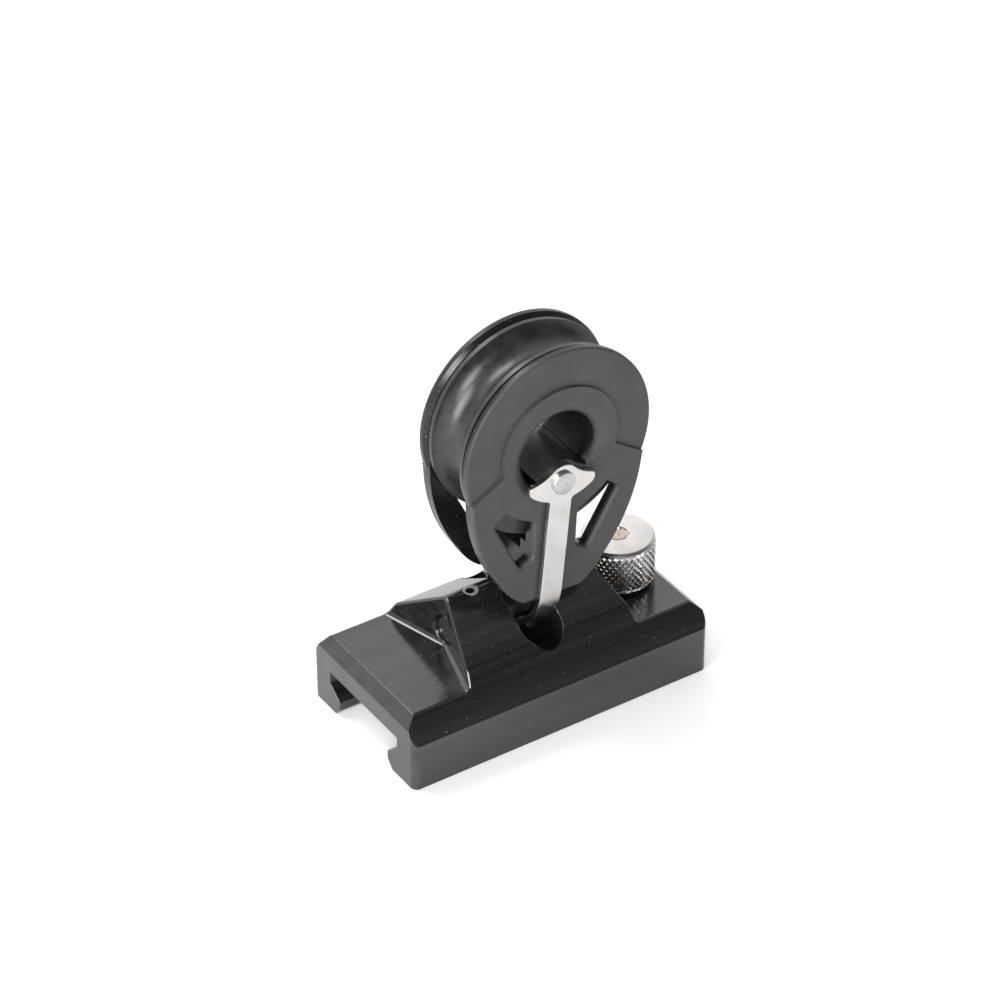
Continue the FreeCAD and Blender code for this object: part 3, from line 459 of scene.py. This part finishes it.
# %% [markdown]
# ## The pull knob
#
# The knob's grip is a diamond knurl: two sets of slanting grooves leave rows of small pyramids. It could be
# a bump, but its outline is seen against the white, so it is cut for real. A tube of square cells is poked,
# which gives each cell a middle point, and its old edges are dissolved, which leaves diamonds. Each diamond
# is then drawn in and pushed out twice, first steeply and then less, into a blunt pyramid.

# %% sizes of the knob
knob_low, knob_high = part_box("plunger_knob")
knob_radius = (knob_high.x - knob_low.x) / 2.0
knob_top = knob_high.z
knob_foot = knob_low.z
grip_low = knob_foot + 0.45 * mm
grip_high = knob_top - 0.85 * mm
cells_round = 38
cells_up = 5
knurl_depth = 0.45 * mm
flank_wide = 0.24 * mm
flank_high = 0.34 * mm
tip_wide = 0.16 * mm
print("knob radius", round(knob_radius / mm, 3), "mm, height", round((knob_top - knob_foot) / mm, 3), "mm")


# %% the knurled grip
def new_of(kind, geometry):
    """The items of one kind in what an operator made."""
    return [g for g in geometry if isinstance(g, kind)]


def from_axis(point):
    """The way from the knob's axis to a point, straight out."""
    return Vector((point.x - stop_x, point.y, 0.0))


grip = bmesh.new()
bmesh.ops.create_circle(grip, segments=cells_round, radius=knob_radius - knurl_depth,
                        matrix=Matrix.Translation((stop_x, 0.0, grip_low)))
edges = grip.edges[:]
for _ in range(cells_up):
    more = bmesh.ops.extrude_edge_only(grip, edges=edges)["geom"]
    verts = new_of(bmesh.types.BMVert, more)
    edges = [e for e in new_of(bmesh.types.BMEdge, more) if all(v in verts for v in e.verts)]
    bmesh.ops.translate(grip, verts=verts, vec=(0.0, 0.0, (grip_high - grip_low) / cells_up))
print("square cells:", len(grip.faces))

inner = [e for e in grip.edges if not e.is_boundary]
bmesh.ops.poke(grip, faces=grip.faces[:])
for v in grip.verts:
    out = from_axis(v.co)
    v.co += out.normalized() * (knob_radius - knurl_depth - out.length)
bmesh.ops.dissolve_edges(grip, edges=inner)
bmesh.ops.recalc_face_normals(grip, faces=grip.faces[:])
diamonds = [f for f in grip.faces if len(f.verts) == 4]
bmesh.ops.inset_individual(grip, faces=diamonds, thickness=flank_wide, depth=flank_high)
bmesh.ops.inset_individual(grip, faces=diamonds, thickness=tip_wide, depth=knurl_depth - flank_high)
knurl = set(grip.faces)
print("diamonds:", len(diamonds))

# %% [markdown]
# The rest of the knob grows from the grip's two open rims. Each step extrudes a rim and draws its new points
# on to a radius and a height: up over the bevel and the flat top, down the dish round the pin and through
# the hollow that takes the spring's bush, and down from the grip's lower rim to the foot. There the two rims
# that are left are bridged.

# %% the rest of the knob
dish_radius = 2.15 * mm
dish_floor = knob_top - 0.35 * mm
pin_hole = 1.78 * mm
roof_under = knob_top - 1.8 * mm
hollow_radius = 5.3 * mm
over_the_top = [
    (knob_radius - 0.12 * mm, grip_high + 0.15 * mm),
    (knob_radius - 0.1 * mm, grip_high + 0.35 * mm),
    (knob_radius - 0.55 * mm, knob_top - 0.02 * mm),
    (knob_radius - 0.62 * mm, knob_top),
    (dish_radius + 0.04 * mm, knob_top),
    (dish_radius, knob_top - 0.04 * mm),
    (dish_radius - 0.17 * mm, dish_floor),
    (pin_hole, dish_floor),
    (pin_hole, roof_under),
    (hollow_radius, roof_under),
    (hollow_radius, knob_foot + 0.1 * mm),
    (hollow_radius + 0.1 * mm, knob_foot),
]
to_the_foot = [
    (knob_radius - 0.14 * mm, grip_low - 0.12 * mm),
    (knob_radius - 0.14 * mm, knob_foot + 0.2 * mm),
    (knob_radius - 0.34 * mm, knob_foot),
]


def grow(mesh, edges, path):
    """Extrudes a rim through each radius and height of a path."""
    for radius, z in path:
        more = bmesh.ops.extrude_edge_only(mesh, edges=edges)["geom"]
        verts = new_of(bmesh.types.BMVert, more)
        for v in verts:
            v.co = Vector((stop_x, 0.0, z)) + from_axis(v.co).normalized() * radius
        edges = [e for e in new_of(bmesh.types.BMEdge, more) if all(v in verts for v in e.verts)]
    return edges


rim = [e for e in grip.edges if e.is_boundary]
grip_middle = (grip_low + grip_high) / 2.0
top_rim = [e for e in rim if e.verts[0].co.z > grip_middle]
low_rim = [e for e in rim if e.verts[0].co.z < grip_middle]
inner_rim = grow(grip, top_rim, over_the_top)
foot_rim = grow(grip, low_rim, to_the_foot)
bmesh.ops.bridge_loops(grip, edges=foot_rim + inner_rim)
bmesh.ops.recalc_face_normals(grip, faces=grip.faces[:])
for f in grip.faces:
    f.smooth = True
    f.material_index = 1 if f in knurl else 0
print("open rim edges:", len(rim))

# %% the knob takes the CAD knob's place
knob_mesh = bpy.data.meshes.new("knurled_knob")
grip.to_mesh(knob_mesh)
grip.free()
knob_mesh.set_sharp_from_angle(angle=math.radians(38.0))
knob = bpy.data.objects.new("knurled_knob", knob_mesh)
bpy.context.scene.collection.objects.link(knob)
knob_mesh.materials.append(steels["turned_steel"])
knob_mesh.materials.append(steels["knurled_steel_painted_shade"])
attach(knob, "plunger")
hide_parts("plunger_knob")
print("knob:", len(knob_mesh.polygons), "faces")

# %% [markdown]
# ## The spring under the knob
#
# The spring sits between the plunger's shoulder and the bush's top wall. `bmesh.ops.spin` sweeps a small
# circle round the axle, and its `dvec` lifts each step a little, which turns the ring into a coil.

# %% the coil
spring_low, spring_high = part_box("plunger_spring")
shoulder = hundredths(spring_low.z)
roof = hundredths(spring_high.z)
wire_radius = 0.26 * mm
coil_radius = 2.35 * mm
end_play = 0.02 * mm
turns = 6
steps = turns * 24
first = shoulder + wire_radius + end_play
last = roof - wire_radius - end_play

coil = bmesh.new()
section = Matrix.Translation((stop_x + coil_radius, 0.0, first)) @ Matrix.Rotation(math.radians(90.0), 4, "X")
bmesh.ops.create_circle(coil, segments=10, radius=wire_radius, matrix=section)
bmesh.ops.spin(coil, geom=coil.edges[:], cent=(stop_x, 0.0, 0.0), axis=(0.0, 0.0, 1.0),
               dvec=(0.0, 0.0, (last - first) / steps), angle=2.0 * math.pi * turns, steps=steps)
bmesh.ops.holes_fill(coil, edges=[e for e in coil.edges if e.is_boundary], sides=0)
bmesh.ops.recalc_face_normals(coil, faces=coil.faces[:])
for f in coil.faces:
    f.smooth = len(f.verts) == 4

# %% the coil takes the CAD spring's place
coil_mesh = bpy.data.meshes.new("coil_spring")
coil.to_mesh(coil_mesh)
coil.free()
coil_mesh.materials.append(steels["drawn_spring_wire"])
spring = bpy.data.objects.new("coil_spring", coil_mesh)
bpy.context.scene.collection.objects.link(spring)
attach(spring, "main")
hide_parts("plunger_spring")
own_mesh(spring)
heights = [round(v.co.z / mm, 2) for v in coil_mesh.vertices]
print("coil:", len(coil_mesh.polygons), "faces, from", min(heights), "to", max(heights), "mm")

# %% [markdown]
# ## Light, floor and background
#
# The set is a white table under a soft sky that is bright at the back and dim behind the camera. Black
# glossy metal shows only what it mirrors, so this slope from dim to bright is what gives each face its own
# grey. Only the rays that come straight from the camera see plain white instead: the background is white,
# and the light on the car stays plain.

# %% the world
world = bpy.data.worlds.new("soft_room")
bpy.context.scene.world = world
world.use_nodes = True
tree = world.node_tree
tree.nodes.clear()
brightest = (0.12, 1.0, 0.1)
direction = node(tree, "ShaderNodeTexCoord", out=0)
back = node(tree, "ShaderNodeVectorMath", out=1, operation="DOT_PRODUCT", In_0=direction, In_1=brightest)
slope = spread(tree, back, -0.25, 0.85, 0.1, 1.2)
from_camera = tree.nodes.new("ShaderNodeLightPath").outputs["Is Camera Ray"]
room = node(tree, "ShaderNodeBackground", Color=(1.0, 1.0, 1.0, 1.0),
            Strength=between(tree, from_camera, slope, 1.0))
node(tree, "ShaderNodeOutputWorld", Surface=room)
print("world:", world.name)

# %% the floor
table = bmesh.new()
bmesh.ops.create_circle(table, cap_ends=True, segments=64, radius=3.0)
table_mesh = bpy.data.meshes.new("white_table")
table.to_mesh(table_mesh)
table.free()
floor = bpy.data.objects.new("white_table", table_mesh)
bpy.context.scene.collection.objects.link(floor)

paper, tree, shader = new_finish("white_paper", (0.9, 0.9, 0.9), 0.0, 0.9, 1.3)
fibres = blend(tree, grain(tree, place(tree), 30.0, 2.0), (0.90, 0.90, 0.90), (0.92, 0.92, 0.92))
tree.links.new(fibres, shader.inputs["Base Color"])
shader.inputs["Emission Color"].default_value = (1, 1, 1, 1)
from_camera = tree.nodes.new("ShaderNodeLightPath").outputs["Is Camera Ray"]
tree.links.new(maths(tree, "MULTIPLY", from_camera, 0.25), shader.inputs["Emission Strength"])
table_mesh.materials.append(paper)
print("floor:", floor.name)


# %% the lamps
def soft_box(name, direction, distance, size, power):
    """A rectangular lamp that stands in that direction from the block and looks at it."""
    light = bpy.data.lights.new(name, "AREA")
    light.shape = "RECTANGLE"
    light.size, light.size_y = size
    light.energy = power
    lamp = bpy.data.objects.new(name, light)
    away = Vector(direction).normalized()
    lamp.location = Vector((0.0, 0.0, 0.03)) + away * distance
    lamp.rotation_euler = (-away).to_track_quat("-Z", "Y").to_euler()
    bpy.context.scene.collection.objects.link(lamp)


soft_box("tall_left_box", (-0.86, -0.3, 0.3), 0.9, (0.4, 0.55), 6.5)
soft_box("camera_side_box", (-0.5, -0.72, 0.48), 1.0, (0.3, 0.3), 4.5)
soft_box("back_top_box", (-0.25, 0.55, 0.95), 0.9, (0.5, 0.3), 3.0)
